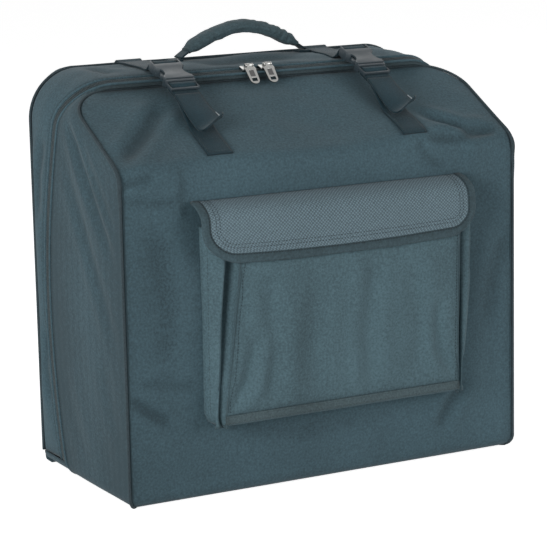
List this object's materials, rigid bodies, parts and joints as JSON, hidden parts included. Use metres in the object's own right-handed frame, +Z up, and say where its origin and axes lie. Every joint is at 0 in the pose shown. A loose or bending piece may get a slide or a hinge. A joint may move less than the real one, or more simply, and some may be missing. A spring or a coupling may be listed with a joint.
{
  "type": "accordion case",
  "caption": "Padded soft case with a sloping front shoulder, zipped back lid on a sewn hinge, webbing straps with side-release clips, flapped front pocket and carry handle.",
  "frame": {"origin": "middle of the underside of the base, on the surface the case stands on", "axes": "X runs across the front with +X to the right as one faces the pocket, +Y from the pocket to the lid at the back, +Z up"},
  "size_m": [0.4832, 0.2726, 0.4838],
  "materials": {
    "shell_fabric": "dark slate woven nylon, matt with a faint sheen",
    "ballistic_fabric": "coarse two-tone ballistic weave, matt",
    "piping": "near-black woven edging tape, matt",
    "foam": "dark open foam, matt",
    "board": "stiff fibreboard-like plastic, matt",
    "lining": "soft brushed grey lining",
    "zip_tape": "black woven zip tape",
    "zip_teeth": "black moulded coil",
    "zip_metal": "bright plated casting",
    "webbing": "black ribbed webbing",
    "clip_plastic": "dark grey moulded plastic, satin",
    "touch_tape": "black hook and loop tape",
    "grip": "padded woven grip, dark"
  },
  "bodies": {
    "main_shell": {"front_cover": "shell_fabric", "gusset_cover": "shell_fabric", "base_cover": "shell_fabric", "front_foam": "foam", "slope_foam": "foam", "side_foam_left": "foam", "side_foam_right": "foam", "base_foam": "foam", "base_board": "board", "main_lining": "lining", "front_piping": "piping", "zip_tape_main": "zip_tape", "zip_teeth_main": "zip_teeth", "pocket_panel": "ballistic_fabric", "pocket_gusset_left": "ballistic_fabric", "pocket_gusset_right": "ballistic_fabric", "pocket_gusset_bottom": "ballistic_fabric", "pocket_hem": "piping", "pocket_loop_patch": "touch_tape", "strap_lower_left": "webbing", "strap_lower_right": "webbing"},
    "lid": {"lid_back_cover": "shell_fabric", "lid_band_cover": "shell_fabric", "lid_back_foam": "foam", "lid_side_foam_left": "foam", "lid_side_foam_right": "foam", "lid_top_foam": "foam", "lid_lining": "lining", "lid_piping": "piping", "hinge_strip": "shell_fabric", "zip_tape_lid": "zip_tape", "zip_teeth_lid": "zip_teeth", "strap_upper_left": "webbing", "strap_upper_right": "webbing", "clip_socket_left": "clip_plastic", "clip_socket_right": "clip_plastic", "handle_tabs": "webbing"},
    "carry_handle": {"handle_grip": "grip", "handle_webbing": "webbing"},
    "pocket_flap": {"flap_panel": "ballistic_fabric", "flap_binding": "piping", "flap_hook_patch": "touch_tape"},
    "clip_left": {"clip_frame_left": "clip_plastic", "clip_prongs_left": "clip_plastic", "strap_bight_left": "webbing", "strap_tail_left": "webbing"},
    "slider_left": {"zip_slider_left": "zip_metal"},
    "pull_left": {"zip_pull_left": "zip_metal"},
    "clip_right": {"clip_frame_right": "clip_plastic", "clip_prongs_right": "clip_plastic", "strap_bight_right": "webbing", "strap_tail_right": "webbing"},
    "slider_right": {"zip_slider_right": "zip_metal"},
    "pull_right": {"zip_pull_right": "zip_metal"}
  },
  "joints": [
    {"name": "lid_open", "type": "hinge", "parent": "main_shell", "child": "lid", "pos_m": [0, 0.118, 0], "axis": [-1, 0, 0], "range_deg": [0, 90], "deforming": ["hinge_strip"]},
    {"name": "handle_fold", "type": "hinge", "parent": "lid", "child": "carry_handle", "pos_m": [0.014, 0.104, 0.4458], "axis": [1, 0, 0], "range_deg": [-36, 36], "deforming": ["handle_webbing"]},
    {"name": "flap_lift", "type": "hinge", "parent": "main_shell", "child": "pocket_flap", "pos_m": [0.004, -0.1197, 0.323], "axis": [-1, 0, 0], "range_deg": [0, 110]},
    {"name": "clip_left_release", "type": "slide", "parent": "main_shell", "child": "clip_left", "axis": [0, -0.9272, -0.3746], "range_m": [0, 0.025], "deforming": ["clip_prongs_left", "strap_bight_left"]},
    {"name": "slider_left_run", "type": "slide", "parent": "main_shell", "child": "slider_left", "axis": [-1, 0, 0], "range_m": [0, 0.073]},
    {"name": "pull_left_swing", "type": "hinge", "parent": "slider_left", "child": "pull_left", "pos_m": [-0.019, 0.01631, 0.44187], "axis": [-1, 0, 0], "range_deg": [0, 200]},
    {"name": "clip_right_release", "type": "slide", "parent": "main_shell", "child": "clip_right", "axis": [0, -0.9272, -0.3746], "range_m": [0, 0.025], "deforming": ["clip_prongs_right", "strap_bight_right"]},
    {"name": "slider_right_run", "type": "slide", "parent": "main_shell", "child": "slider_right", "axis": [1, 0, 0], "range_m": [0, 0.088]},
    {"name": "pull_right_swing", "type": "hinge", "parent": "slider_right", "child": "pull_right", "pos_m": [0.004, 0.01631, 0.44187], "axis": [-1, 0, 0], "range_deg": [0, 200]}
  ]
}
